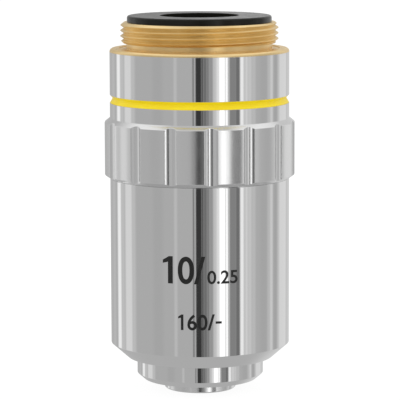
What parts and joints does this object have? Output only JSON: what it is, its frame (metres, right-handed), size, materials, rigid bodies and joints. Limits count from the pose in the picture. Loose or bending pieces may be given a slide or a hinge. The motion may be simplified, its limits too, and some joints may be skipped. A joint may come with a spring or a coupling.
{
  "type": "microscope objective",
  "caption": "Screw-mount microscope objective: brass thread and shoulder, chromed barrel with a yellow band, fluted grip ring, coned sleeve and stepped nose, with its lens stack inside.",
  "frame": {"origin": "centre of the mounting shoulder, the face that seats on the nosepiece", "axes": "+Z along the optical axis, towards the mounting thread, so the front lens points to -Z; -Y is the side that faces the viewer in the picture"},
  "size_m": [0.0244, 0.0244, 0.0482],
  "materials": {
    "chrome_plate": "polished",
    "bare_brass": "turned",
    "black_anodised": "satin",
    "yellow_enamel": "gloss",
    "lens_glass": "coated"
  },
  "bodies": {
    "root": {"rear_stop_ring": "black_anodised", "thread_mount": "bare_brass", "upper_barrel": "chrome_plate", "color_band": "yellow_enamel", "lower_sleeve": "chrome_plate", "lens_barrel": "chrome_plate", "parfocal_shim": "bare_brass", "barrel_lock_ring": "bare_brass", "front_cell": "chrome_plate", "front_lens": "lens_glass", "front_spacer": "black_anodised", "first_doublet_cell": "black_anodised", "first_doublet_flint": "lens_glass", "first_doublet_crown": "lens_glass", "middle_spacer": "black_anodised", "second_doublet_cell": "black_anodised", "second_doublet_crown": "lens_glass", "second_doublet_flint": "lens_glass", "aperture_stop": "black_anodised", "rear_spacer": "black_anodised", "rear_doublet_cell": "black_anodised", "rear_doublet_crown": "lens_glass", "rear_doublet_flint": "lens_glass", "stack_retainer": "black_anodised"}
  },
  "joints": []
}
